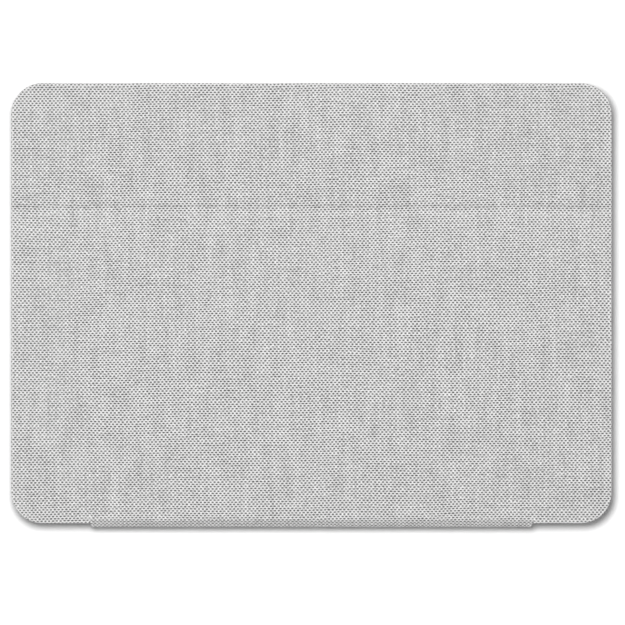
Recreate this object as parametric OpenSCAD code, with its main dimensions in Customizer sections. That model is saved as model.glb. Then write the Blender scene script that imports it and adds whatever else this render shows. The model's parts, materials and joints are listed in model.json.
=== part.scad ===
// Tablet keyboard case: a woven folio made of a keyboard half, a soft spine, a back panel and a
// flap that folds back at a crease and holds the tablet by its top edge. Millimetres, drawn
// closed. +X runs along the keyboard, the user sits at -Y, the spine is at +Y, the table is z = 0.

/* [Case] */
// Width along the keyboard
case_w = 252; // [250:0.5:256]
// Depth of the keyboard half and of the cover, without the spine
case_d = 184.7; // [184:0.1:188]
// Closed height, fabric to fabric
case_h = 15; // [14.8:0.1:16]
// Radius of the four corners
corner_r = 13; // [11:0.5:16]
// Thickness of the woven outer fabric with its backing
skin_t = 0.8; // [0.6:0.1:1]

/* [Keyboard half] */
// Thickness of the board under the keyboard
base_board_t = 1.1; // [0.9:0.1:1.2]
// Height of the deck's top face above the table
deck_top = 5.4; // [5.3:0.05:5.4]
// Thickness of the deck's top wall
deck_wall_t = 1; // [0.9:0.1:1.2]

/* [Keys] */
// Width of one key unit
key_pitch_x = 16; // [15.6:0.1:16]
// Depth of one key row
key_pitch_y = 17; // [16.5:0.1:17]
// Gap between neighbouring keycaps
key_gap = 1.6; // [1.6:0.1:2]
// Height of a keycap
keycap_t = 1.4; // [1.3:0.05:1.4]
// Height of a keycap's top face above the table
key_top = 6; // [5.9:0.05:6]
// Distance that a key travels when pressed
key_travel = 1.2; // [0.8:0.1:1.2]
// Bare deck between the front edge and the first key row
front_margin = 6; // [6:0.5:7]

/* [Spine] */
// Length of the spine along the case
spine_w = 186.5; // [180:0.5:200]
// Thickness of the spine, which is also the radius of its two folds
spine_t = 1.9; // [1.9:0.05:2]
// How far the spine's top fold sits inwards of its bottom fold
spine_lean = 0.3; // [0.2:0.1:0.5]

/* [Cover] */
// Distance of the crease from the flap's free edge
crease_from_front = 51.7; // [48:0.1:60]
// Width of the crease, where the boards stop and only fabric runs through
crease_gap = 1.3; // [1:0.1:2]
// Thickness of the stiff board in the cover
cover_board_t = 1.3; // [1.2:0.1:1.4]
// Thickness of the soft lining
lining_t = 0.5; // [0.4:0.1:0.5]

/* [Tablet] */
// Width of the tablet that the holder takes
tablet_w = 247.6; // [246:0.1:247.6]
// Depth of the tablet
tablet_d = 178.5; // [176:0.1:178.5]
// Corner radius of the tablet
tablet_r = 10; // [9:0.5:11]
// How far the holder's lip reaches over the tablet's face
lip_reach = 1.9; // [1.5:0.1:2]
// Thickness of the holder's lip
lip_t = 0.8; // [0.7:0.05:0.8]
// Inner corner radius of the holder's lip
lip_corner_r = 1.5; // [1:0.5:3]

/* [Hidden] */
$fn = 48;
// How far the layers under the fabric lie inside the case's outline.
base_board_inset = 0.6;
deck_inset = 0.4;
cover_board_inset = 1;
lining_inset = 0.7;
fit = 0.3;                                   // running gap round soft or moving pieces
slack = 0.1;                                 // gap between pieces that are set in place
cut = 1;                                     // how far a cutting shape runs past a face
magnet_pocket = 0.05;                        // gap round a magnet in its pocket
y_front = -(case_d + spine_t) / 2;
y_rear = y_front + case_d;
y_crease = y_front + crease_from_front;
z_board = skin_t;
z_chassis = skin_t + base_board_t;
cover_t = skin_t + cover_board_t + lining_t;
z_lining = case_h - cover_t;
z_cover_board = z_lining + lining_t;
z_cover_skin = case_h - skin_t;

// The spine turns on two folds: one beside the keyboard, one beside the cover.
low_fold = [y_rear, spine_t];
top_fold = [y_rear - spine_lean, case_h - spine_t];
fold_span = norm(top_fold - low_fold);
lean_angle = atan2(spine_lean, top_fold[1] - low_fold[1]);
notch_w = spine_w + 2 * fit;
keyboard_notch_y = low_fold[0] - spine_t - fit;
cover_notch_y = top_fold[0] - spine_t - fit;

// Widths of the keys in units, row by row, from the number row to the space bar's row.
KEY_ROWS = [
    [1, 1, 1, 1, 1, 1, 1, 1, 1, 1, 1, 1, 1, 2],
    [1.5, 1, 1, 1, 1, 1, 1, 1, 1, 1, 1, 1, 1, 1.5],
    [1.75, 1, 1, 1, 1, 1, 1, 1, 1, 1, 1, 1, 2.25],
    [2.25, 1, 1, 1, 1, 1, 1, 1, 1, 1, 1, 2.75],
    [1, 1, 1, 1.25, 5.5, 1.25, 1, 1, 1, 1]
];
ARROW_ROW = 4;
UP_DOWN_COL = 8;
row_units = 15;
keys_w = row_units * key_pitch_x;
keys_d = len(KEY_ROWS) * key_pitch_y;
keys_front = y_front + front_margin;
keys_rear = keys_front + keys_d;
key_r = 1.5;
well_margin = 1;                             // bare width of the well round the key block
wide_key = 4;                                // a key wider than this many units has three domes
key_bottom = key_top - keycap_t;
plate_t = 0.3;
z_membrane = z_chassis + plate_t;
z_mechanism = z_membrane + plate_t;
mechanism_h = key_bottom - key_travel - z_mechanism - slack;
web_t = 0.6;
web_below_deck = 0.3;
z_web = deck_top - web_below_deck - web_t;
dome_r = [2.6, 1.5];
scissor_size = 9;
scissor_bar = 1.2;

// The strip behind the keys, whose groove takes the tablet's lower edge.
rest_w = 210;
rest_y = [keys_rear + 1.6, keys_rear + 12.6];
rest_z = [3.3, 5.9];
groove_floor_z = 4.3;
groove_wall = 2;
groove_y = [rest_y[0] + groove_wall, rest_y[1] - groove_wall];
groove_slope = 0.6;
rest_chamfer = 0.4;
rest_magnet_w = 28;
rest_magnet_xs = [-84, -28, 28, 84];

// What lies under the deck, behind the rest strip.
bay_rear = keyboard_notch_y - 3;
bay_w = 234;
bay_top = deck_top - deck_wall_t;
cell_size = [92, 56, 2.2];
cell_xs = [-100, 0];
cell_y = rest_y[1] + 6;
board_size = [20, 48, 0.8];
board_pos = [96, cell_y + 4];
CHIPS = [[4, 6, 7, 7, 0.9], [6, 20, 5, 5, 0.8], [3, 30, 4, 3, 0.7]];   // place, then size
flex_w = 8;
flex_t = 0.2;
flex_x = board_pos[0] + 6;
flex_in_well = 3;
passage_margin = 2;
socket_size = [7.4, 9, 3];                   // length, width and height
socket_wall = 0.3;
socket_back = 1;
socket_inset = 0.5;                          // how far its mouth lies inside the case's side
socket_y = board_pos[1] + 34;
tongue = [6.6, 0.7, 5];                      // width, thickness and length
switch_y = board_pos[1] + 12;
switch_body = [3.8, 11];                     // width and length
switch_face = 2.5;                           // depth of the switch's outer face in the case's side
switch_slot = [8, 1.8];                      // length and height
switch_travel = 2.5;
switch_z = 3.4;
slider_size = [1.9, switch_slot[0] - switch_travel - 2 * fit, 1.2];
slider_rib = [0.2, 0.5];                     // height and width
light_pos = [108, rest_y[1] + 6];
light_r = 0.8;
light_fit = 0.02;
bumper_r = 2.5;
bumper_h = 0.6;
bumper_xs = [-116, 116];
bumper_ys = [rest_y[0] + 4.4, bay_rear - 8];

// The tablet's place in the closed case, and the U-shaped holder round its top edge.
tablet_front = y_front + (case_d - tablet_d) / 2;
holder_lift = 0.05;                          // gap between the holder and the closed deck
holder_z = [deck_top + holder_lift, z_lining];
holder_rear = y_crease - 2.4;
holder_edge = 0.3;                           // from the case's outline to the holder
holder_gap = 0.3;
pad_t = 0.2;
pad_ends = [14, 4];                          // bare length of the holder's arm at each end of a pad
pad_margin = 1;
latch_xs = [-60, 60];
magnet_bar = [26, 1.3, 2.4];
deck_magnet_depth = 1.4;                     // from the case's front edge
flap_magnet_depth = 0.9;
cover_magnet_xs = [-90, -30, 30, 90];
cover_magnet = [30, 6];
cover_magnet_y = y_crease + 70;

// ---- shared shapes ----------------------------------------------------------------------

// A rectangle with round corners, from its lowest to its highest corner.
module round_box_2d(low, high, r) {
    size = high - low;
    translate(low + [r, 0]) square([size[0] - 2 * r, size[1]]);
    translate(low + [0, r]) square([size[0], size[1] - 2 * r]);
    for (x = [low[0] + r, high[0] - r], y = [low[1] + r, high[1] - r])
        translate([x, y]) circle(r = r);
}

// The case's outline, moved inwards by inset.
module case_outline(inset) {
    round_box_2d([-case_w / 2 + inset, y_front + inset],
                 [case_w / 2 - inset, y_rear - inset], corner_r - inset);
}

// The room that the spine's fold needs in a layer's rear edge.
module fold_notch(y) {
    translate([-notch_w / 2, y]) square([notch_w, case_d]);
}

module slab(z, t) {
    translate([0, 0, z]) linear_extrude(t) children();
}

module keyboard_layer(z, t, inset) {
    slab(z, t) difference() {
        case_outline(inset);
        fold_notch(keyboard_notch_y);
    }
}

// The cover's layers behind the crease, up to the spine.
module lower_layer(z, t, inset) {
    slab(z, t) difference() {
        case_outline(inset);
        fold_notch(cover_notch_y);
        translate([-case_w, y_crease + crease_gap / 2 - case_d]) square([2 * case_w, case_d]);
    }
}

// The cover's layers in front of the crease.
module flap_layer(z, t, inset) {
    slab(z, t) difference() {
        case_outline(inset);
        translate([-case_w, y_crease - crease_gap / 2]) square([2 * case_w, case_d]);
    }
}

// A block from its lowest to its highest corner.
module block(low, high) {
    translate(low) cube(high - low);
}

// A block repeated at each x.
module blocks(xs, low, high) {
    for (x = xs) translate([x, 0, 0]) block(low, high);
}

// ---- keys -------------------------------------------------------------------------------

function units_before(row, col) = col <= 0 ? 0 : KEY_ROWS[row][col - 1] + units_before(row, col - 1);
function key_x(row, col) = -keys_w / 2 + key_pitch_x * (units_before(row, col) + KEY_ROWS[row][col] / 2);
function row_y(row) = keys_rear - key_pitch_y * (row + 0.5);
function key_w(row, col) = key_pitch_x * KEY_ROWS[row][col] - key_gap;
key_d = key_pitch_y - key_gap;
half_key_d = (key_d - key_gap / 2) / 2;
half_key_shift = (key_d - half_key_d) / 2;

// One key's outline, grown by extra; half is 0 for a full key, 1 or -1 for the upper or lower half.
module key_2d(row, col, extra = 0, half = 0) {
    size = [key_w(row, col) / 2, (half == 0 ? key_d : half_key_d) / 2] + [extra, extra];
    translate([key_x(row, col), row_y(row) + half * half_key_shift])
        round_box_2d(-size, size, key_r + extra);
}

module keycap(row, col, half = 0) {
    color("silver") slab(key_bottom, keycap_t) key_2d(row, col, 0, half);
}

module keycaps(row, first, last) {
    for (col = [first : last]) keycap(row, col);
}

// Runs its children at the middle of every key, and at both ends' thirds of the space bar.
module at_keys() {
    for (row = [0 : len(KEY_ROWS) - 1], col = [0 : len(KEY_ROWS[row]) - 1]) {
        third = key_w(row, col) / 3;
        places = KEY_ROWS[row][col] > wide_key ? [-third, 0, third] : [0];
        for (dx = places)
            if (!(row == ARROW_ROW && col == UP_DOWN_COL))
                translate([key_x(row, col) + dx, row_y(row)]) children();
    }
}

module key_well_2d(margin) {
    translate([-keys_w / 2 - margin, keys_front - margin])
        square([keys_w + 2 * margin, keys_d + 2 * margin]);
}

module key_web() {
    color("dimgray") slab(z_web, web_t) difference() {
        key_well_2d(well_margin - slack);
        for (row = [0 : len(KEY_ROWS) - 1], col = [0 : len(KEY_ROWS[row]) - 1])
            if (!(row == ARROW_ROW && col == UP_DOWN_COL)) key_2d(row, col, fit);
            else for (half = [-1, 1]) key_2d(row, col, fit, half);
    }
}

module key_support_plate() {
    color("silver") slab(z_chassis, plate_t) key_well_2d(well_margin - 2 * slack);
}

module key_membrane() {
    color("darkslategray") slab(z_membrane, plate_t) key_well_2d(well_margin - 4 * slack);
}

module scissor_links() {
    color("white") at_keys() slab(z_mechanism, mechanism_h) difference() {
        square(scissor_size, center = true);
        square(scissor_size - 2 * scissor_bar, center = true);
    }
}

module rubber_domes() {
    color("gainsboro") at_keys() translate([0, 0, z_mechanism])
        cylinder(h = mechanism_h, r1 = dome_r[0], r2 = dome_r[1]);
}

module number_row_keys() { keycaps(0, 0, 12); }
module backspace_key() { keycap(0, 13); }
module tab_key() { keycap(1, 0); }
module upper_letter_keys() { keycaps(1, 1, 12); }
module backslash_key() { keycap(1, 13); }
module caps_lock_key() { keycap(2, 0); }
module home_row_keys() { keycaps(2, 1, 11); }
module enter_key() { keycap(2, 12); }
module left_shift_key() { keycap(3, 0); }
module lower_letter_keys() { keycaps(3, 1, 10); }
module right_shift_key() { keycap(3, 11); }
module function_key() { keycap(4, 0); }
module control_key() { keycap(4, 1); }
module left_alt_key() { keycap(4, 2); }
module left_command_key() { keycap(4, 3); }
module space_bar() { keycap(4, 4); }
module right_command_key() { keycap(4, 5); }
module right_alt_key() { keycap(4, 6); }
module left_arrow_key() { keycap(4, 7); }
module up_arrow_key() { keycap(4, UP_DOWN_COL, 1); }
module down_arrow_key() { keycap(4, UP_DOWN_COL, -1); }
module right_arrow_key() { keycap(4, 9); }

// ---- keyboard half ----------------------------------------------------------------------

module keyboard_outer_skin() {
    color("lightgray") keyboard_layer(0, skin_t, 0);
}

module keyboard_base_board() {
    color("tan") keyboard_layer(z_board, base_board_t, base_board_inset);
}

// The moulded deck: a rim and a top wall, with a well for the keys and a bay for the electronics.
module deck_frame() {
    color("gray") difference() {
        keyboard_layer(z_chassis, deck_top - z_chassis, deck_inset);
        slab(z_chassis - cut, case_h) key_well_2d(well_margin);
        // opening for the rest strip
        block([-rest_w / 2, rest_y[0], z_chassis - cut],
              [rest_w / 2, rest_y[1], deck_top + cut]);
        // closed bay under the top wall
        block([-bay_w / 2, rest_y[0], z_chassis - cut], [bay_w / 2, bay_rear, bay_top]);
        // passage for the flex cable, from the well to the bay
        block([flex_x - passage_margin, keys_rear, z_chassis - cut],
              [flex_x + flex_w + passage_margin, rest_y[0] + cut, z_mechanism + 2 * flex_t]);
        socket_cut();
        switch_cut();
        translate([light_pos[0], light_pos[1], bay_top - cut])
            cylinder(h = deck_wall_t + 2 * cut, r = light_r);
        magnet_pockets(latch_xs, deck_magnet_low() - [0, 0, cut], deck_magnet_high());
    }
}

// Pockets for magnets, a little larger than the magnets are.
module magnet_pockets(xs, low, high) {
    grow = [magnet_pocket, magnet_pocket, magnet_pocket];
    blocks(xs, low - grow, high + grow);
}

module socket_cut() {
    half_w = socket_size[1] / 2 + slack;
    block([case_w / 2 - socket_inset - socket_size[0] - slack, socket_y - half_w, z_chassis - cut],
          [case_w, socket_y + half_w, z_chassis + socket_size[2] + slack]);
}

// Room for the switch's body, and the slot that its slider runs in.
module switch_cut() {
    inner = case_w / 2 - switch_face + fit;
    half_d = switch_body[1] / 2 + slack;
    half_slot = switch_slot / 2;
    block([inner - fit - switch_body[0] - slack, switch_y - half_d, z_chassis - cut],
          [inner, switch_y + half_d, bay_top]);
    block([inner - cut, switch_y - half_slot[0], switch_z - half_slot[1]],
          [case_w, switch_y + half_slot[0], switch_z + half_slot[1]]);
}

// A moulded strip with a groove along it, cut to the same section all along.
module tablet_rest_strip() {
    wall = [rest_y[0] + slack, rest_y[1] - slack];
    color("dimgray") translate([-rest_w / 2 + slack, 0, 0]) rotate([90, 0, 90])
        linear_extrude(rest_w - 2 * slack) polygon([
            [wall[0], rest_z[0]], [wall[1], rest_z[0]],
            [wall[1], rest_z[1] - rest_chamfer], [wall[1] - rest_chamfer, rest_z[1]],
            [groove_y[1], rest_z[1]], [groove_y[1] - groove_slope, groove_floor_z],
            [groove_y[0] + groove_slope, groove_floor_z], [groove_y[0], rest_z[1]],
            [wall[0] + rest_chamfer, rest_z[1]], [wall[0], rest_z[1] - rest_chamfer]
        ]);
}

module rest_magnets() {
    color("silver") blocks(rest_magnet_xs, [-rest_magnet_w / 2, groove_y[0], z_chassis],
                           [rest_magnet_w / 2, groove_y[1], rest_z[0] - slack]);
}

function deck_magnet_low() = [-magnet_bar[0] / 2, y_front + deck_magnet_depth, z_chassis];
function deck_magnet_high() = deck_magnet_low() + magnet_bar;

module deck_latch_magnets() {
    color("silver") blocks(latch_xs, deck_magnet_low(), deck_magnet_high());
}

module battery_cells() {
    color("lightsteelblue") for (x = cell_xs)
        translate([x, cell_y, z_chassis]) cube(cell_size);
}

module control_board() {
    color("darkgreen") translate([board_pos[0], board_pos[1], z_chassis]) {
        cube(board_size);
        for (chip = CHIPS)
            translate([chip[0], chip[1], board_size[2]]) cube([chip[2], chip[3], chip[4]]);
    }
}

module flex_cable() {
    color("goldenrod") block([flex_x, keys_rear - flex_in_well, z_mechanism],
                             [flex_x + flex_w, board_pos[1] - slack, z_mechanism + flex_t]);
}

// A hollow metal shell with a tongue inside; its mouth faces +X.
module charging_socket() {
    half = [socket_size[1] / 2, socket_size[2] / 2];
    hollow = half - [socket_wall, socket_wall];
    color("silver")
        translate([case_w / 2 - socket_inset - socket_size[0], socket_y, z_chassis + half[1]])
        rotate([90, 0, 90]) {
            difference() {
                linear_extrude(socket_size[0]) round_box_2d(-half, half, half[1] - slack);
                translate([0, 0, socket_back]) linear_extrude(socket_size[0])
                    round_box_2d(-hollow, hollow, hollow[1] - slack);
            }
            translate([-tongue[0] / 2, -tongue[1] / 2, socket_back - slack]) cube(tongue);
        }
}

module power_switch_body() {
    outer = case_w / 2 - switch_face;
    color("black") block([outer - switch_body[0], switch_y - switch_body[1] / 2, z_chassis],
                         [outer, switch_y + switch_body[1] / 2, bay_top - slack]);
}

// The small slider that switches the keyboard on; it stands in the slot, at its off end.
module power_switch_slider() {
    low = [case_w / 2 - switch_face + fit, switch_y - switch_slot[0] / 2 + fit,
           switch_z - slider_size[2] / 2];
    pitch = slider_size[1] / 4;
    color("dimgray") {
        block(low, low + slider_size);
        for (i = [1 : 3])
            translate(low + [slider_size[0], i * pitch - slider_rib[1] / 2, 0])
                cube([slider_rib[0], slider_rib[1], slider_size[2]]);
    }
}

module status_light_lens() {
    color("white") translate([light_pos[0], light_pos[1], bay_top - fit])
        cylinder(h = deck_wall_t + fit, r = light_r - light_fit);
}

module deck_bumpers() {
    color("dimgray") for (x = bumper_xs, y = bumper_ys)
        translate([x, y, deck_top]) cylinder(h = bumper_h, r = bumper_r);
}

// ---- spine ------------------------------------------------------------------------------

// A spine layer, measured inwards from the spine's outer face, between two heights on the spine.
module spine_layer(depth, t, z, h) {
    translate([-spine_w / 2, low_fold[0], low_fold[1]]) rotate([lean_angle, 0, 0])
        translate([0, spine_t - depth - t, z]) cube([spine_w, t, h]);
}

// The fabric of the spine with its two folds, each a roll on its hinge line.
module spine_skin() {
    color("lightgray") {
        for (fold = [low_fold, top_fold])
            translate([-spine_w / 2, fold[0], fold[1]]) rotate([0, 90, 0])
                cylinder(h = spine_w, r = spine_t);
        spine_layer(0, skin_t, 0, fold_span);
    }
}

module spine_stiffener() {
    color("tan") spine_layer(skin_t, spine_t - skin_t - lining_t, spine_t + slack,
                             fold_span - 2 * (spine_t + slack));
}

module spine_lining() {
    color("gray") spine_layer(spine_t - lining_t, lining_t, spine_t + slack,
                              fold_span - 2 * (spine_t + slack));
}

// ---- cover behind the crease ------------------------------------------------------------

function cover_magnet_low() = [-cover_magnet[0] / 2, cover_magnet_y, z_cover_board + slack];
function cover_magnet_high() = [cover_magnet[0] / 2, cover_magnet_y + cover_magnet[1],
                                z_cover_skin - slack];

module lower_cover_skin() {
    color("lightgray") lower_layer(z_cover_skin, skin_t, 0);
}

module lower_cover_board() {
    color("tan") difference() {
        lower_layer(z_cover_board, cover_board_t, cover_board_inset);
        blocks(cover_magnet_xs, cover_magnet_low() - [slack, slack, cut],
               cover_magnet_high() + [slack, slack, cut]);
    }
}

module lower_cover_lining() {
    color("gray") lower_layer(z_lining, lining_t, lining_inset);
}

module lower_cover_magnets() {
    color("silver") blocks(cover_magnet_xs, cover_magnet_low(), cover_magnet_high());
}

// ---- flap in front of the crease, with the tablet holder --------------------------------

module flap_skin() {
    color("lightgray") flap_layer(z_cover_skin, skin_t, 0);
}

module flap_board() {
    color("tan") flap_layer(z_cover_board, cover_board_t, cover_board_inset);
}

module flap_lining() {
    color("gray") flap_layer(z_lining, lining_t, lining_inset);
}

// The tablet's outline, grown by extra, with corners of radius r.
module tablet_outline(extra, r) {
    round_box_2d([-tablet_w / 2 - extra, tablet_front - extra],
                 [tablet_w / 2 + extra, tablet_front + tablet_d + extra], r);
}

module holder_half_plane() {
    translate([-case_w, y_front - cut]) square([2 * case_w, holder_rear - y_front + cut]);
}

// A U-shaped rim round the tablet's top edge, with a thin lip over its face.
module tablet_holder() {
    color("dimgray") difference() {
        slab(holder_z[0], holder_z[1] - holder_z[0]) intersection() {
            case_outline(holder_edge);
            holder_half_plane();
        }
        slab(holder_z[0] + lip_t, case_h) tablet_outline(holder_gap, tablet_r + holder_gap);
        slab(holder_z[0] - cut, case_h) tablet_outline(-lip_reach, lip_corner_r);
        magnet_pockets(latch_xs, flap_magnet_low(), flap_magnet_high());
    }
}

function flap_magnet_low() = [-magnet_bar[0] / 2, y_front + flap_magnet_depth,
                              holder_z[0] + lip_t];
function flap_magnet_high() = flap_magnet_low() + magnet_bar;

module flap_latch_magnets() {
    color("silver") blocks(latch_xs, flap_magnet_low(), flap_magnet_high());
}

// Thin soft strips on the holder's inner walls, which grip the tablet's sides.
module holder_pads() {
    x = tablet_w / 2 + holder_gap;
    z = holder_z[0] + lip_t;
    color("black") for (side = [-1, 1])
        block([min(side * x, side * (x - pad_t)), tablet_front + pad_ends[0], z + pad_margin],
              [max(side * x, side * (x - pad_t)), holder_rear - pad_ends[1],
               z_lining - pad_margin]);
}

keyboard_outer_skin();
keyboard_base_board();
deck_frame();
key_web();
key_support_plate();
key_membrane();
scissor_links();
rubber_domes();
tablet_rest_strip();
rest_magnets();
deck_latch_magnets();
battery_cells();
control_board();
flex_cable();
charging_socket();
power_switch_body();
power_switch_slider();
status_light_lens();
deck_bumpers();
spine_skin();
spine_stiffener();
spine_lining();
lower_cover_skin();
lower_cover_board();
lower_cover_lining();
lower_cover_magnets();
flap_skin();
flap_board();
flap_lining();
tablet_holder();
flap_latch_magnets();
holder_pads();
number_row_keys();
backspace_key();
tab_key();
upper_letter_keys();
backslash_key();
caps_lock_key();
home_row_keys();
enter_key();
left_shift_key();
lower_letter_keys();
right_shift_key();
function_key();
control_key();
left_alt_key();
left_command_key();
space_bar();
right_command_key();
right_alt_key();
left_arrow_key();
up_arrow_key();
down_arrow_key();
right_arrow_key();
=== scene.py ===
"""Tablet keyboard case: the looks of every piece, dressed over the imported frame.

The outer fabric is laid as a cover over the back panel and the flap, a cover over the keyboard
half, and two strips that meet halfway up the spine. Each carries the flat position of its cloth,
so that one weave runs from the flap's edge to the underside. Plastic pieces are softened copies
of the frame's own solids, and keycaps are dished over the frame's plain ones.
"""
import json
import math

import bmesh
import bpy
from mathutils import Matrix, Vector


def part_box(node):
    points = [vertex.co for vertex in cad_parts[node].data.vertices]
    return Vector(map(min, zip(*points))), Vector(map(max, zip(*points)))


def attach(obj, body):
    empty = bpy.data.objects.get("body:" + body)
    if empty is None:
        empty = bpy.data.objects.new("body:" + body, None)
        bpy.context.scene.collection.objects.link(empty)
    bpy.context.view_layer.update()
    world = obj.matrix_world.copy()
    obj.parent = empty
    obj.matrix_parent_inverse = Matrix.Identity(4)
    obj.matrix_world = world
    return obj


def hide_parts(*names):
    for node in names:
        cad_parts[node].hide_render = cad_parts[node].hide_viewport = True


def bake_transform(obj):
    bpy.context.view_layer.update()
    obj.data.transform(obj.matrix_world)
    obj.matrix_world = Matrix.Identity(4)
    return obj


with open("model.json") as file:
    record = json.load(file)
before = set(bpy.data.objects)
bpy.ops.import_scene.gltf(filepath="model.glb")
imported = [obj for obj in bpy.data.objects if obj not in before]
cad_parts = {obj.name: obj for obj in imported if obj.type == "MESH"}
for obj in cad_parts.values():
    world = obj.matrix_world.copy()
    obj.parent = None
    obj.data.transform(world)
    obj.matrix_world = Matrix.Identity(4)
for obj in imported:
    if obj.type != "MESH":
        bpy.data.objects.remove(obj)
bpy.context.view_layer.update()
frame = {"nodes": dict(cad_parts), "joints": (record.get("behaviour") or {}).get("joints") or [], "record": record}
MM = 0.001

# ---- sizes, read from the frame ---------------------------------------------------------


def joint_point(name):
    """A hinge line's height and place across the case, in metres."""
    found = [j for j in frame["joints"] if j["name"] == name][0]
    return Vector(found["pos_m"])


LOW_FOLD = joint_point("spine_fold")
TOP_FOLD = joint_point("cover_fold")
CREASE = joint_point("flap_crease")
BASE_LOW, BASE_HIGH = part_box("keyboard_outer_skin")
COVER_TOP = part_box("lower_cover_skin")[1].z
LINING_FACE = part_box("lower_cover_lining")[0].z
DECK_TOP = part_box("deck_frame")[1].z
DECK_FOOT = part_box("deck_frame")[0].z
SPINE_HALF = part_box("spine_skin")[1].x
SPINE_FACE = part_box("spine_skin")[1].y
CORNER_R = 13 * MM
OVERLAP = 0.02 * MM          # how far a strip stands over the cover that it lies on
CORNER_STEPS = 14
EDGE_STEPS = 8

# ---- node helpers -----------------------------------------------------------------------


class Tree:
    """Adds nodes to a material or group, and links them by socket name."""

    def __init__(self, tree):
        self.tree = tree

    def add(self, kind, settings=None, **inputs):
        node = self.tree.nodes.new(kind)
        for key, value in (settings or {}).items():
            setattr(node, key, value)
        for key, value in inputs.items():
            self.set(node, key.replace("_", " "), value)
        return node

    def set(self, node, key, value):
        """Links a socket, or sets a plain value; a number in the key picks an input by place."""
        socket = node.inputs[int(key)] if key.strip().isdigit() else node.inputs[key]
        if isinstance(value, bpy.types.NodeSocket):
            self.tree.links.new(value, socket)
        else:
            socket.default_value = value

    def math(self, operation, a, b=0.0, c=0.0, clamp=False):
        node = self.tree.nodes.new("ShaderNodeMath")
        node.operation = operation
        node.use_clamp = clamp
        for place, value in enumerate((a, b, c)):
            self.set(node, str(place), value)
        return node.outputs[0]

    def remap(self, value, low, high, to_low=0.0, to_high=1.0, smooth=False):
        node = self.tree.nodes.new("ShaderNodeMapRange")
        if smooth:
            node.interpolation_type = "SMOOTHSTEP"
        for key, v in (("Value", value), ("From Min", low), ("From Max", high),
                       ("To Min", to_low), ("To Max", to_high)):
            self.set(node, key, v)
        return node.outputs["Result"]

    def mix(self, share, a, b):
        node = self.tree.nodes.new("ShaderNodeMix")
        node.data_type = "RGBA"
        self.set(node, "0", share)
        self.set(node, "6", a)
        self.set(node, "7", b)
        return node.outputs[2]

    def noise(self, vector, scale, detail=2.0, roughness=0.5):
        node = self.add("ShaderNodeTexNoise", Vector=vector, Scale=scale, Detail=detail,
                        Roughness=roughness)
        return node.outputs["Fac"]

    def stretched(self, vector, x, y, z):
        node = self.add("ShaderNodeVectorMath", {"operation": "MULTIPLY"})
        self.set(node, "0", vector)
        self.set(node, "1", (x, y, z))
        return node.outputs[0]


def node_group(name, inputs, outputs):
    """An empty shader node group: inputs are (name, kind, default), outputs are (name, kind)."""
    group = bpy.data.node_groups.new(name, "ShaderNodeTree")
    for label, kind, default in inputs:
        socket = group.interface.new_socket(label, in_out="INPUT", socket_type="NodeSocket" + kind)
        if default is not None:
            socket.default_value = default
    for label, kind in outputs:
        group.interface.new_socket(label, in_out="OUTPUT", socket_type="NodeSocket" + kind)
    tree = Tree(group)
    return group, tree, tree.add("NodeGroupInput").outputs, tree.add("NodeGroupOutput")


# ---- effects that several materials share -----------------------------------------------


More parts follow.
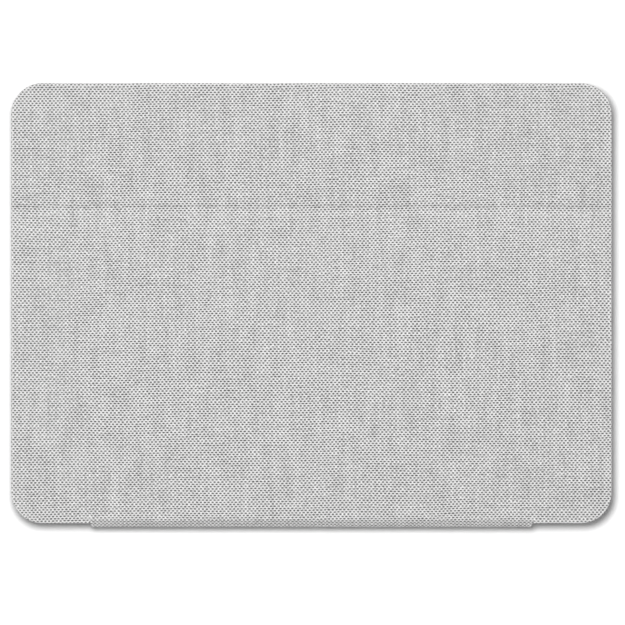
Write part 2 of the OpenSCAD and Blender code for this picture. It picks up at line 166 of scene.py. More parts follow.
def make_plain_weave():
    """Light yarns with lens-shaped gaps between them, on a staggered lattice.

    The gap input opens the gaps, which darkens the cloth, and closes them, which lightens it. It closes them on
    the pressed rims, and at the crease it paints shade on the falling side and a highlight on the rising side.
    """
    group, t, given, out = node_group(
        "plain_weave",
        [("Cloth", "Vector", None), ("Gape", "Float", 0.0), ("Spacing X", "Float", 0.815 * MM),
         ("Spacing Y", "Float", 0.95 * MM), ("Wander", "Float", 0.3)],
        [("Gaps", "Float"), ("Yarn", "Float"), ("Streaks", "Float"), ("Fuzz", "Float")])
    cloth = given["Cloth"]
    split = t.add("ShaderNodeSeparateXYZ", Vector=cloth)
    u = t.math("DIVIDE", split.outputs[0], given["Spacing X"])
    v = t.math("DIVIDE", split.outputs[1], given["Spacing Y"])
    # yarns wander a little from their even spacing, and whole rows bow slowly
    sway = t.noise(t.stretched(cloth, 600, 420, 1), 1.0, 1.0)
    lift = t.noise(t.stretched(cloth, 420, 640, 1), 1.0, 1.0)
    bow = t.noise(cloth, 14, 1.0)
    u = t.math("MULTIPLY_ADD", bow, 2.2, u)
    v = t.math("MULTIPLY_ADD", bow, -2.8, v)
    u = t.math("MULTIPLY_ADD", t.math("SUBTRACT", sway, 0.5), given["Wander"], u)
    v = t.math("MULTIPLY_ADD", t.math("SUBTRACT", lift, 0.5), given["Wander"], v)
    across = t.math("COSINE", t.math("MULTIPLY", u, math.pi))
    along = t.math("COSINE", t.math("MULTIPLY", v, math.pi))
    both = t.math("MULTIPLY", across, along)
    rows = t.math("MULTIPLY_ADD", t.math("MULTIPLY", along, along), 2.0, -1.0)
    cell = t.math("MULTIPLY_ADD", rows, 0.78, t.math("MULTIPLY", both, 0.94))
    # wider gaps darken the cloth and narrower ones lighten it: at the crease this is painted shade and a painted
    # highlight
    cell = t.math("ADD", cell, given["Gape"])
    # neighbouring gaps differ in size, with no step between them, and whole patches are tighter
    chance = t.remap(t.noise(t.stretched(cloth, 980, 860, 1), 1.0, 0.0), 0.3, 0.7)
    turned = t.add("ShaderNodeMapping", Vector=cloth, Rotation=(0, 0, math.radians(32)),
                   Scale=(190, 70, 1)).outputs[0]
    patch = t.remap(t.noise(turned, 1.0, 1.0), 0.3, 0.7, -0.15, 0.15)
    uneven = t.math("MULTIPLY_ADD", chance, 0.5, t.math("ADD", patch, -0.25))
    gaps = t.remap(t.math("ADD", cell, uneven), -0.4, 1.1, smooth=True)
    shade = t.noise(t.stretched(cloth, 1500, 1100, 1), 1.0, 1.0)
    yarn = t.math("MULTIPLY_ADD", both, -0.28, t.remap(shade, 0.25, 0.75, 0.05, 0.95))
    # thick and thin stretches of single yarns, long across the case's depth
    slub = t.noise(t.stretched(cloth, 900, 34, 1), 1.0, 3.0, 0.6)
    weft = t.noise(t.stretched(cloth, 40, 800, 1), 1.0, 2.0, 0.6)
    streaks = t.math("MULTIPLY_ADD", weft, 0.45, t.math("MULTIPLY", slub, 0.55))
    # loose hairs, and the fine fibres that run along each thread
    hairs = t.noise(cloth, 2600, 2.0, 0.6)
    fibres = t.noise(t.stretched(cloth, 900, 6400, 1), 1.0, 1.0)
    fuzz = t.math("MULTIPLY_ADD", fibres, 0.5, t.math("MULTIPLY", hairs, 0.5))
    for label, value in (("Gaps", gaps), ("Yarn", yarn), ("Streaks", streaks), ("Fuzz", fuzz)):
        t.set(out, label, value)
    return group


def make_moulded_grain():
    """Fine spark-eroded grain on moulded plastic, with slow variation from handling."""
    group, t, given, out = node_group(
        "moulded_grain",
        [("Place", "Vector", None), ("Grain Scale", "Float", 3200.0), ("Depth", "Float", 0.5)],
        [("Height", "Float"), ("Shine", "Float"), ("Tone", "Float")])
    grain = t.noise(given["Place"], given["Grain Scale"], 3.0, 0.65)
    touched = t.noise(given["Place"], 28.0, 3.0, 0.55)
    specks = t.noise(given["Place"], 900.0, 1.0)
    height = t.math("MULTIPLY", grain, given["Depth"])
    t.set(out, "Height", height)
    t.set(out, "Shine", t.remap(touched, 0.35, 0.7))
    t.set(out, "Tone", t.math("MULTIPLY_ADD", specks, 0.4, t.math("MULTIPLY", touched, 0.6)))
    return group


def make_edge_rub():
    """A mask of the outer edges, where hands rub a surface smooth and a little lighter."""
    group, t, given, out = node_group(
        "edge_rub", [("Place", "Vector", None), ("Reach", "Float", 0.06)], [("Rub", "Float")])
    point = t.add("ShaderNodeNewGeometry").outputs["Pointiness"]
    edge = t.remap(point, t.math("ADD", 0.5, t.math("MULTIPLY", given["Reach"], 0.25)),
                   t.math("ADD", 0.5, given["Reach"]), smooth=True)
    broken = t.remap(t.noise(given["Place"], 160.0, 3.0, 0.6), 0.4, 0.62)
    t.set(out, "Rub", t.math("MULTIPLY", edge, broken))
    return group


def make_nap():
    """The short brushed pile of a microfibre lining."""
    group, t, given, out = node_group(
        "nap", [("Place", "Vector", None)], [("Height", "Float"), ("Tone", "Float")])
    pile = t.noise(t.stretched(given["Place"], 1.0, 0.6, 1.0), 2800.0, 3.0, 0.7)
    strokes = t.noise(t.stretched(given["Place"], 1.0, 0.5, 1.0), 420.0, 4.0, 0.6)
    t.set(out, "Height", pile)
    t.set(out, "Tone", t.math("MULTIPLY_ADD", pile, 0.5, t.math("MULTIPLY", strokes, 0.5)))
    return group


WEAVE = make_plain_weave()
GRAIN = make_moulded_grain()
RUB = make_edge_rub()
NAP = make_nap()

# ---- materials --------------------------------------------------------------------------


def grey(level, warmth=0.0):
    return (level * (1 + warmth), level, level * (1 - warmth), 1.0)


def new_material(name):
    material = bpy.data.materials.new(name)
    material.use_nodes = True
    material.node_tree.nodes.clear()
    t = Tree(material.node_tree)
    shader = t.add("ShaderNodeBsdfPrincipled")
    end = t.add("ShaderNodeOutputMaterial")
    t.tree.links.new(shader.outputs[0], end.inputs["Surface"])
    return material, t, shader


def use_group(t, group, **inputs):
    node = t.add("ShaderNodeGroup", {"node_tree": group})
    for key, value in inputs.items():
        t.set(node, key.replace("_", " "), value)
    return node.outputs


def bumped(t, shader, height, distance, strength=1.0):
    bump = t.add("ShaderNodeBump", Height=height, Distance=distance, Strength=strength)
    t.set(shader, "Normal", bump.outputs[0])


def multiplied(t, a, b):
    node = t.add("ShaderNodeMix", {"data_type": "RGBA", "blend_type": "MULTIPLY"})
    t.set(node, "0", 1.0)
    t.set(node, "6", a)
    t.set(node, "7", b)
    return node.outputs[2]


CLOTH_TURN = math.radians(-0.5)      # the cloth lies a little off the case's own line


def woven_fabric():
    """The light grey outer cloth, laid by its flat position."""
    material, t, shader = new_material("woven_outer_fabric")
    laid = t.add("ShaderNodeUVMap", {"uv_map": "cloth"}).outputs[0]
    cloth = t.add("ShaderNodeMapping", Vector=laid, Rotation=(0, 0, CLOTH_TURN)).outputs[0]
    flat = t.add("ShaderNodeAttribute", {"attribute_name": "flat"}).outputs["Vector"]
    # the third channel holds the pressed rims' closed weave and the crease's painted shade and painted highlight
    gape = t.add("ShaderNodeSeparateXYZ", Vector=flat).outputs[2]
    weave = use_group(t, WEAVE, Cloth=cloth, Gape=gape)
    yarn = t.mix(t.remap(weave["Yarn"], 0.0, 1.0), grey(0.477, 0.003), grey(0.825, 0.002))
    yarn = t.mix(weave["Gaps"], yarn, grey(0.085, 0.008))
    streak = t.mix(t.remap(weave["Streaks"], 0.34, 0.66), grey(0.86), grey(1.08))
    fuzzy = t.mix(t.remap(weave["Fuzz"], 0.3, 0.7), grey(0.93), grey(1.05))
    t.set(shader, "Base Color", multiplied(t, multiplied(t, yarn, streak), fuzzy))
    t.set(shader, "Roughness", t.remap(weave["Gaps"], 0.0, 1.0, 0.8, 0.95))
    shader.inputs["Specular IOR Level"].default_value = 0.2
    shader.inputs["Sheen Weight"].default_value = 0.08
    shader.inputs["Sheen Roughness"].default_value = 0.6
    height = t.math("MULTIPLY_ADD", weave["Fuzz"], 0.25, t.math("MULTIPLY", weave["Gaps"], -1.0))
    bumped(t, shader, height, 0.10 * MM, 0.5)
    return material


def place_in_row(t):
    return t.add("ShaderNodeTexCoord").outputs["Object"]


def moulded_plastic(name, level, rough=0.5, grain_scale=3200.0, depth=0.5, warmth=0.0,
                    rub=0.25, specular=0.4):
    material, t, shader = new_material(name)
    place = place_in_row(t)
    grain = use_group(t, GRAIN, Place=place, Grain_Scale=grain_scale, Depth=depth)
    worn = use_group(t, RUB, Place=place)["Rub"]
    base = t.mix(t.remap(grain["Tone"], 0.3, 0.7), grey(level * 0.93, warmth),
                 grey(min(1.0, level * 1.06), warmth))
    rubbed = grey(min(1.0, level * 1.35 + 0.02), warmth)
    t.set(shader, "Base Color", t.mix(t.math("MULTIPLY", worn, rub), base, rubbed))
    t.set(shader, "Roughness", t.remap(grain["Shine"], 0.0, 1.0, rough + 0.06, rough - 0.08))
    shader.inputs["Specular IOR Level"].default_value = specular
    bumped(t, shader, grain["Height"], 0.03 * MM, 0.5)
    return material


def soft_lining():
    material, t, shader = new_material("brushed_lining")
    nap = use_group(t, NAP, Place=place_in_row(t))
    base = t.mix(t.remap(nap["Tone"], 0.32, 0.68), grey(0.085), grey(0.15))
    t.set(shader, "Base Color", base)
    shader.inputs["Roughness"].default_value = 0.95
    shader.inputs["Specular IOR Level"].default_value = 0.15
    shader.inputs["Sheen Weight"].default_value = 0.35
    shader.inputs["Sheen Roughness"].default_value = 0.45
    bumped(t, shader, nap["Height"], 0.08 * MM, 0.6)
    return material


def pressed_board():
    """Grey-brown fibre board with flecks."""
    material, t, shader = new_material("pressed_board")
    place = place_in_row(t)
    fibres = t.noise(t.stretched(place, 1.0, 0.3, 1.0), 1500.0, 4.0, 0.7)
    flecks = t.remap(t.noise(place, 700.0, 1.0), 0.62, 0.7)
    base = t.mix(fibres, (0.20, 0.18, 0.15, 1), (0.36, 0.33, 0.28, 1))
    t.set(shader, "Base Color", t.mix(t.math("MULTIPLY", flecks, 0.6), base, (0.1, 0.09, 0.08, 1)))
    shader.inputs["Roughness"].default_value = 0.9
    bumped(t, shader, fibres, 0.05 * MM, 0.5)
    return material


def metal(name, colour, rough, grain=(1.0, 40.0, 1.0), scratch=900.0):
    """Brushed or plated metal, with fine lines along its stretched grain."""
    material, t, shader = new_material(name)
    place = place_in_row(t)
    lines = t.noise(t.stretched(place, *grain), scratch / max(grain), 4.0, 0.7)
    clouds = t.noise(place, 60.0, 2.0)
    dim = tuple(c * 0.82 for c in colour[:3]) + (1.0,)
    t.set(shader, "Base Color", t.mix(t.remap(lines, 0.3, 0.7), dim, colour))
    shader.inputs["Metallic"].default_value = 1.0
    t.set(shader, "Roughness", t.remap(clouds, 0.3, 0.7, rough + 0.08, rough - 0.04))
    bumped(t, shader, lines, 0.01 * MM, 0.4)
    return material


def printed_film(name, base, tracks, shine, pitch=2.2 * MM):
    """A plastic film with printed or etched tracks on it."""
    material, t, shader = new_material(name)
    place = place_in_row(t)
    split = t.add("ShaderNodeSeparateXYZ", Vector=place)
    wave = t.math("SINE", t.math("MULTIPLY", split.outputs[0], 2 * math.pi / pitch))
    bend = t.math("SINE", t.math("MULTIPLY", split.outputs[1], 2 * math.pi / (pitch * 6)))
    track = t.remap(t.math("ADD", wave, bend), 0.55, 0.8, smooth=True)
    patchy = t.noise(place, 400.0, 2.0)
    shade = t.mix(t.remap(patchy, 0.3, 0.7), tuple(c * 0.85 for c in base[:3]) + (1.0,), base)
    t.set(shader, "Base Color", t.mix(t.math("MULTIPLY", track, 0.7), shade, tracks))
    t.set(shader, "Roughness", t.remap(patchy, 0.3, 0.7, shine + 0.08, shine - 0.05))
    bumped(t, shader, track, 0.02 * MM, 0.4)
    return material


def foil_pouch():
    """The crinkled laminate round a flat battery cell."""
    material, t, shader = new_material("battery_foil")
    place = place_in_row(t)
    crinkle = t.noise(place, 260.0, 4.0, 0.6)
    t.set(shader, "Base Color", t.mix(t.remap(crinkle, 0.35, 0.65), grey(0.42), grey(0.6, -0.02)))
    shader.inputs["Metallic"].default_value = 0.9
    t.set(shader, "Roughness", t.remap(crinkle, 0.3, 0.7, 0.45, 0.28))
    bumped(t, shader, crinkle, 0.12 * MM, 0.5)
    return material


def clear_lens():
    material, t, shader = new_material("light_lens")
    place = place_in_row(t)
    haze = t.noise(place, 1800.0, 2.0)
    t.set(shader, "Base Color", t.mix(haze, (0.72, 0.78, 0.74, 1), (0.86, 0.9, 0.87, 1)))
    shader.inputs["Roughness"].default_value = 0.18
    shader.inputs["Coat Weight"].default_value = 0.5
    bumped(t, shader, haze, 0.01 * MM, 0.3)
    return material


FABRIC = woven_fabric()
LINING = soft_lining()
BOARD = pressed_board()
DECK = moulded_plastic("deck_plastic", 0.20, 0.55)
KEY = moulded_plastic("key_plastic", 0.42, 0.48, 3600.0, 0.35, rub=0.15)
HOLDER = moulded_plastic("holder_plastic", 0.13, 0.5)
REST = moulded_plastic("rest_plastic", 0.055, 0.48, 2800.0, 0.7)
SWITCH = moulded_plastic("switch_plastic", 0.04, 0.42, 3000.0, 0.4)
LINK = moulded_plastic("link_plastic", 0.62, 0.35, 2600.0, 0.2, rub=0.1)
RUBBER = moulded_plastic("bumper_rubber", 0.03, 0.75, 2200.0, 0.8, rub=0.1, specular=0.25)
DOME = moulded_plastic("dome_rubber", 0.55, 0.6, 2400.0, 0.3, rub=0.05, specular=0.3)
STEEL = metal("steel_plate", (0.52, 0.52, 0.53, 1), 0.34, (40.0, 1.0, 1.0))
NICKEL = metal("magnet_nickel", (0.66, 0.65, 0.63, 1), 0.2, (1.0, 8.0, 1.0))
SOCKET = metal("socket_metal", (0.62, 0.62, 0.63, 1), 0.28, (12.0, 1.0, 1.0))
FILM = printed_film("membrane_film", (0.03, 0.035, 0.033, 1), (0.28, 0.28, 0.27, 1), 0.4)
FLEX = printed_film("flex_film", (0.34, 0.15, 0.03, 1), (0.5, 0.3, 0.12, 1), 0.3, 0.9 * MM)
CIRCUIT = printed_film("circuit_board", (0.01, 0.07, 0.035, 1), (0.03, 0.16, 0.08, 1), 0.3, 1.3 * MM)
FOIL = foil_pouch()
LENS = clear_lens()

SLOT_MATERIALS = {
    "outer_fabric": FABRIC, "stiff_board": BOARD, "soft_lining": LINING, "deck_plastic": DECK,
    "steel_plate": STEEL, "membrane_film": FILM, "link_plastic": LINK, "dome_rubber": DOME,
    "rest_plastic": REST, "magnet_nickel": NICKEL, "battery_foil": FOIL,
    "circuit_board": CIRCUIT, "flex_film": FLEX, "socket_metal": SOCKET,
    "switch_plastic": SWITCH, "light_lens": LENS, "bumper_rubber": RUBBER,
    "holder_plastic": HOLDER, "key_plastic": KEY,
}
NODE_SLOTS = {s["node"]: s["material_slot"] for s in frame["record"]["subparts"]}


def dress_frame():
    """Every node of the frame gets its slot's material, whether a piece hides it or not."""
    for name, node in frame["nodes"].items():
        node.data.materials.clear()
        node.data.materials.append(SLOT_MATERIALS[NODE_SLOTS[name]])


# ---- mesh helpers -----------------------------------------------------------------------


def finish_piece(name, bm, material, smooth=True, cloth=None):
    """Turns a bmesh into an object; cloth is a vertex layer with the flat place of the cloth."""
    bmesh.ops.recalc_face_normals(bm, faces=bm.faces)
    if cloth is not None:
        uv = bm.loops.layers.uv.new("cloth")
        for face in bm.faces:
            for loop in face.loops:
                loop[uv].uv = loop.vert[cloth][:2]
    for face in bm.faces:
        face.smooth = smooth
    mesh = bpy.data.meshes.new(name)
    bm.to_mesh(mesh)
    bm.free()
    mesh.materials.append(material)
    piece = bpy.data.objects.new(name, mesh)
    bpy.context.scene.collection.objects.link(piece)
    return piece


def outline(low, high, radius, steps=CORNER_STEPS, notch=None):
    """A rounded rectangle as (centre, direction) pairs, so that it can be drawn at any inset.

    A notch, as (half its width, its floor's place), is cut into the rear edge.
    """
    corners = [(high[0] - radius, low[1] + radius, -90), (high[0] - radius, high[1] - radius, 0),
               (low[0] + radius, high[1] - radius, 90), (low[0] + radius, low[1] + radius, 180)]
    points = []
    for x, y, start in corners:
        if notch and start == 90:
            half, floor = notch
            for side, place in ((1, high[1]), (1, floor), (-1, floor), (-1, high[1])):
                out = Vector((-side, 1))
                points.append((Vector((side * half, place)) - out * radius, out))
        for i in range(steps + 1):
            angle = math.radians(start + 90 * i / steps)
            points.append((Vector((x, y)), Vector((math.cos(angle), math.sin(angle)))))
    return points


def ring(bm, cloth, points, radius, inset, z, reach=0.0, gape=0.0, flip=None):
    """One loop of vertices at an inset and height; reach is how far along the cloth it lies."""
    verts = []
    for centre, out in points:
        at = centre + out * (radius - inset)
        flat = centre + out * (radius + reach)
        vert = bm.verts.new((at.x, at.y, z))
        vert[cloth] = (flat.x, flat.y if flip is None else flip - flat.y, gape)
        verts.append(vert)
    return verts


def join_rings(bm, rings, cap_first=False, cap_last=False, sharp_caps=False):
    """Skins a row of rings; sharp caps keep the shading even where two pieces meet end to end."""
    for a, b in zip(rings, rings[1:]):
        for i in range(len(a)):
            k = (i + 1) % len(a)
            bm.faces.new((a[i], a[k], b[k], b[i]))
    caps = []
    if cap_first:
        caps.append(bm.faces.new(list(reversed(rings[0]))))
    if cap_last:
        caps.append(bm.faces.new(rings[-1]))
    for face in caps:
        for edge in face.edges:
            edge.smooth = not sharp_caps


def cut_across(bm, places):
    """Cuts a mesh along lines across the case, giving it rows of vertices there."""
    for y in places:
        bmesh.ops.bisect_plane(bm, geom=bm.verts[:] + bm.edges[:] + bm.faces[:], dist=1e-7,
                               plane_co=(0, y, 0), plane_no=(0, 1, 0))


# ---- the outer fabric -------------------------------------------------------------------

CREASE_WALL = 1.9 * MM       # the pressed crease falls over this width on each side
CREASE_FLOOR = 1.4 * MM      # and is level over this width, on the back panel's side
CREASE_TOP = CREASE.y - 0.95 * MM
CREASE_DEPTH = 0.55 * MM
EDGE_R = 0.55 * MM           # round of the cloth over the cover's edges
TURN_IN = 3.9 * MM           # the cloth that is turned in under the lining
RIM = 0.75 * MM              # width of the pressed rim, where the weave is closed
SPINE_NOTCH = (SPINE_HALF - 0.15 * MM, LOW_FOLD.y - 2.2 * MM)


def smooth(x):
    x = min(1.0, max(0.0, x))
    return x * x * (3 - 2 * x)


def crease_valley(y):
    """Depth of the pressed crease at a place across the case."""
    fall = smooth((y - CREASE_TOP) / CREASE_WALL)
    rise = smooth((y - CREASE_TOP - CREASE_WALL - CREASE_FLOOR) / CREASE_WALL)
    return CREASE_DEPTH * (fall - rise)


def crease_gape(y):
    """Painted shade on the crease's falling side, where the weave's gaps open, and a painted highlight on its
    rising side, where they close.
    """
    fall = (y - CREASE_TOP - 0.35 * CREASE_WALL) / CREASE_WALL
    rise = (y - CREASE_TOP - 1.55 * CREASE_WALL - CREASE_FLOOR) / CREASE_WALL
    return 0.12 * math.exp(-(fall / 0.4) ** 2) - 0.22 * math.exp(-(rise / 0.5) ** 2)


def crease_rows():
    """The lines that the cover is cut along, over the crease and a little past it."""
    width = 2 * CREASE_WALL + CREASE_FLOOR
    count = 30
    past = 0.1
    return [CREASE_TOP + width * (i / count * (1 + 2 * past) - past) for i in range(count + 1)]


def edge_profile(z_open, z_far, far_inset):
    """(inset, height, reach, gape) round an edge, from the turned-in side to the outer face."""
    side = 1 if z_far > z_open else -1
    wall = abs(z_far - z_open) - 2 * EDGE_R
    arc = 0.5 * math.pi * EDGE_R
    around = 2 * arc + wall
    closed = -0.35
    rows = [(TURN_IN, z_open, around + TURN_IN - EDGE_R, 0.0),
            (EDGE_R + 0.1 * MM, z_open, around + 0.1 * MM, closed)]
    for i in range(EDGE_STEPS + 1):
        a = 0.5 * math.pi * i / EDGE_STEPS
        rows.append((EDGE_R * (1 - math.sin(a)), z_open + side * EDGE_R * (1 - math.cos(a)),
                     around - EDGE_R * a, closed))
    for i in range(EDGE_STEPS + 1):
        a = 0.5 * math.pi * i / EDGE_STEPS
        rows.append((EDGE_R * (1 - math.cos(a)), z_far - side * EDGE_R * (1 - math.sin(a)),
                     arc - EDGE_R * a, closed))
    rows += [(EDGE_R + 0.05 * MM, z_far, -0.05 * MM, closed), (RIM, z_far, EDGE_R - RIM, closed),
             (RIM + 0.35 * MM, z_far, EDGE_R - RIM - 0.35 * MM, 0.0),
             (far_inset, z_far, EDGE_R - far_inset, 0.0)]
    return [(inset, z, reach - EDGE_R, gape) for inset, z, reach, gape in rows]


def fabric_cover():
    """The cloth over the back panel and the flap, turned in under the lining all round."""
    bm = bmesh.new()
    cloth = bm.verts.layers.float_vector.new("flat")
    shape = outline(BASE_LOW, BASE_HIGH, CORNER_R, notch=SPINE_NOTCH)
    top = COVER_TOP - OVERLAP
    rows = edge_profile(LINING_FACE + 0.05 * MM, top, 3 * MM)
    rings = [ring(bm, cloth, shape, CORNER_R, *row) for row in rows]
    join_rings(bm, rings, cap_last=True)
    cut_across(bm, crease_rows())
    depth = top - LINING_FACE
    for vert in bm.verts:
        share = (vert.co.z - LINING_FACE) / depth
        vert.co.z -= crease_valley(vert.co.y) * share
        # the crease's painted shade and painted highlight go into the third channel of the cloth's flat place
        vert[cloth].z += crease_gape(vert.co.y)
    piece = finish_piece("cover_fabric", bm, FABRIC, cloth=cloth)
    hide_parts("lower_cover_skin", "flap_skin")
    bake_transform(piece)
    return piece


def rounded_path(points, radius, steps=8):
    """A path through points, with its inner corners rounded."""
    path = [points[0]]
    for before, corner, after in zip(points, points[1:], points[2:]):
        a = corner + (before - corner).normalized() * radius
        b = corner + (after - corner).normalized() * radius
        for i in range(steps + 1):
            t = i / steps
            path.append(a * (1 - t) ** 2 + corner * 2 * t * (1 - t) + b * t * t)
    path.append(points[-1])
    return path


def in_short_steps(path, longest):
    """The same path, with its straight stretches cut into short ones."""
    fine = [path[0]]
    for a, b in zip(path, path[1:]):
        count = max(1, math.ceil((b - a).length / longest))
        fine += [a.lerp(b, i / count) for i in range(1, count + 1)]
    return fine


SKIN_T = COVER_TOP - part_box("lower_cover_skin")[0].z
STRIP_START = SPINE_NOTCH[1] - 1.1 * MM
SLOPE_IN = 3.1 * MM          # the cloth slopes from the cover to the spine over this width
SLOPE_DROP = 2.9 * MM
FOLD_R = 0.9 * MM
TAPER = 1.0 * MM             # the spine's cloth is narrower at its face by this at each end


def strip_path():
    """The spine's cloth in section, from the cover's top to the underside: (y, z)."""
    top_face = TOP_FOLD.y + SPINE_FACE - LOW_FOLD.y
    middle = Vector(((top_face + SPINE_FACE) / 2, COVER_TOP / 2))
    top = [Vector((STRIP_START, COVER_TOP)), Vector((SPINE_FACE - SLOPE_IN - 0.2 * MM, COVER_TOP)),
           Vector((top_face, COVER_TOP - SLOPE_DROP)), middle]
    low = [middle, Vector((SPINE_FACE, SLOPE_DROP)), Vector((SPINE_FACE - SLOPE_IN, 0)),
           Vector((STRIP_START, 0))]
    step = 0.5 * MM
    top = in_short_steps(rounded_path(top, FOLD_R), step)
    return top + in_short_steps(rounded_path(low, FOLD_R), step)[1:], len(top) - 1


STRIP_POINTS, STRIP_MIDDLE = strip_path()
STRIP_LENGTHS = [STRIP_START]
for one, two in zip(STRIP_POINTS, STRIP_POINTS[1:]):
    STRIP_LENGTHS.append(STRIP_LENGTHS[-1] + (two - one).length)
STRIP_LENGTH = STRIP_LENGTHS[-1]


def inward(points, i):
    """The direction from the cloth's face into the case, at one point of a path."""
    a, b = points[max(i - 1, 0)], points[min(i + 1, len(points) - 1)]
    along = (b - a).normalized()
    return Vector((along.y, -along.x))


def strip_half_width(point):
    """Half the length of the spine's cloth; it draws in where the cloth slopes to the face."""
    return SPINE_HALF - TAPER * smooth((point.x - SPINE_FACE + SLOPE_IN) / SLOPE_IN)


def fabric_strip(name, first, last):
    """Cloth round a stretch of the spine's section, closed, with rounded ends along the case."""
    bm = bmesh.new()
    cloth = bm.verts.layers.float_vector.new("flat")
    end_r = SKIN_T / 2
    loops = []
    for i in range(first, last + 1):
        point, into = STRIP_POINTS[i], inward(STRIP_POINTS, i)
        half = strip_half_width(point) - end_r
        row = [(half - RIM, 0.0, half - RIM, 0.0), (half - RIM / 2, 0.0, half - RIM / 2, -0.6)]
        for k in range(EDGE_STEPS + 1):
            a = math.pi * k / EDGE_STEPS
            row.append((half + end_r * math.sin(a), end_r - end_r * math.cos(a),
                        half + end_r * a, -0.6))
        mirrored = [(-x, d, -flat, gape) for x, d, flat, gape in reversed(row)]
        verts = []
        for x, d, flat, gape in row + mirrored:
            at = point + into * d
            vert = bm.verts.new((x, at.x, at.y))
            vert[cloth] = (flat, STRIP_LENGTHS[i], gape)
            verts.append(vert)
        loops.append(verts)
    join_rings(bm, loops, cap_first=True, cap_last=True, sharp_caps=True)
    piece = finish_piece(name, bm, FABRIC, cloth=cloth)
    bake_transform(piece)
    return piece


def spine_fabric():
    """The two strips of the spine's cloth, which meet halfway up it."""
    upper = fabric_strip("spine_fabric_upper", 0, STRIP_MIDDLE)
    lower = fabric_strip("spine_fabric_lower", STRIP_MIDDLE, len(STRIP_POINTS) - 1)
    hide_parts("spine_skin")
    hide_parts("spine_skin")
    return upper, lower


def fabric_base():
    """The cloth under the keyboard half, turned up round the base board to the deck."""
    bm = bmesh.new()
    cloth = bm.verts.layers.float_vector.new("flat")
    shape = outline(BASE_LOW, BASE_HIGH, CORNER_R, notch=SPINE_NOTCH)
    r = 1.1 * MM
    bottom = BASE_LOW.z + OVERLAP
    rim = DECK_FOOT + 0.05 * MM
    flip = STRIP_START + STRIP_LENGTH
    rows = [(1.5 * MM, rim, 0.5 * math.pi * r + rim - r + 1.3 * MM - r),
            (0.35 * MM, rim, 0.5 * math.pi * r + rim - r + 0.15 * MM - r),
            (0.08 * MM, rim - 0.08 * MM, 0.5 * math.pi * r + rim - r - 0.1 * MM - r),
            (0.0, rim - 0.3 * MM, 0.5 * math.pi * r + rim - 0.3 * MM - r - r)]
    for i in range(EDGE_STEPS + 1):
        a = 0.5 * math.pi * (1 - i / EDGE_STEPS)
        rows.append((r - r * math.sin(a), bottom + r - r * math.cos(a), r * a - r))
    rows += [(r + 0.1 * MM, bottom, -r - 0.1 * MM), (3 * MM, bottom, -3 * MM)]
    rings = [ring(bm, cloth, shape, CORNER_R, *row, flip=flip) for row in rows]
    join_rings(bm, rings, cap_last=True)
    piece = finish_piece("keyboard_fabric", bm, FABRIC, cloth=cloth)
    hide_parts("keyboard_outer_skin")
    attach(piece, "keyboard")
    return piece


# ---- the lining -------------------------------------------------------------------------


LINING_INSET = 3.0 * MM
LINING_HALF = SPINE_HALF - 1.3 * MM
LINING_T = 0.35 * MM


def cover_lining():
    """The brushed lining inside the cover, in one run over the crease."""
    bm = bmesh.new()
    cloth = bm.verts.layers.float_vector.new("flat")
    shape = outline(BASE_LOW, BASE_HIGH, CORNER_R)
    face, back = LINING_FACE, LINING_FACE + LINING_T
    round_r = 0.12 * MM
    middle = 9 * MM
    rows = [(middle, back), (LINING_INSET + round_r, back), (LINING_INSET, face + round_r),
            (LINING_INSET + 0.3 * round_r, face + 0.3 * round_r), (LINING_INSET + round_r, face),
            (LINING_INSET + 0.3 * MM, face), (middle, face)]
    rings = [ring(bm, cloth, shape, CORNER_R, *row) for row in rows]
    join_rings(bm, rings, cap_first=True, cap_last=True)
    cut_across(bm, crease_rows())
    piece = finish_piece("cover_lining", bm, LINING)
    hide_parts("lower_cover_lining", "flap_lining")
    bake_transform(piece)
    return piece


def lining_strip(name, path):
    """Lining along a path in section (y, z), narrower than the spine's cloth."""
    bm = bmesh.new()
    loops = []
    for i, point in enumerate(path):
        out = inward(path, i) * LINING_T
        edge = LINING_T / 2
        corners = [(-LINING_HALF + edge, point), (LINING_HALF - edge, point),
                   (LINING_HALF, point + out / 2), (LINING_HALF - edge, point + out),
                   (-LINING_HALF + edge, point + out), (-LINING_HALF, point + out / 2)]
        loops.append([bm.verts.new((x, p.x, p.y)) for x, p in corners])
    join_rings(bm, loops, cap_first=True, cap_last=True, sharp_caps=True)
    piece = finish_piece(name, bm, LINING)
    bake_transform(piece)
    return piece


def spine_lining():
    """Lining from the deck's rear edge up the spine's inside, and on to the cover's lining."""
    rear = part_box("spine_lining")[0].y
    seam = Vector((rear, LINING_FACE - 1.5 * MM))
    wall = SPINE_NOTCH[1] + 0.02 * MM
    step = 0.5 * MM
    low = rounded_path([Vector((wall, DECK_FOOT + 0.05 * MM)), Vector((wall, DECK_TOP - 1.2 * MM)),
                        Vector((rear, DECK_TOP - 0.6 * MM)), seam], 0.5 * MM)
    lap = LINING_FACE - 0.05 * MM
    top = rounded_path([seam, Vector((rear, lap)), Vector((rear - 10 * MM, lap))], 1.2 * MM)
    lower = lining_strip("spine_lining_lower", in_short_steps(low, step))
    upper = lining_strip("spine_lining_upper", in_short_steps(top, step))
    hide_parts("spine_lining")
    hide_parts("spine_lining")
    return lower, upper


def spine_board():
    """The spine's stiffener, shorter than its cloth at each end, with worn corners."""
    low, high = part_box("spine_stiffener")
    bm = bmesh.new()
    draw_in = 2.2 * MM
    half_t = 0.25 * MM
    lean = (high.y - low.y) / 2 - half_t
    middle = (low.y + high.y) / 2
    for z, sway in ((low.z, lean), (high.z, -lean)):
        for x in (-SPINE_HALF + draw_in, SPINE_HALF - draw_in):
            for y in (-half_t, half_t):
                bm.verts.new((x, middle + sway + y, z))
    bmesh.ops.convex_hull(bm, input=bm.verts)
    bmesh.ops.dissolve_limit(bm, angle_limit=math.radians(2), verts=bm.verts, edges=bm.edges)
    piece = finish_piece("spine_board", bm, BOARD)
    rounded(piece, 0.08 * MM, 2)
    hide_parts("spine_stiffener")
    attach(piece, "spine")
    return piece


# ---- moulded pieces ---------------------------------------------------------------------


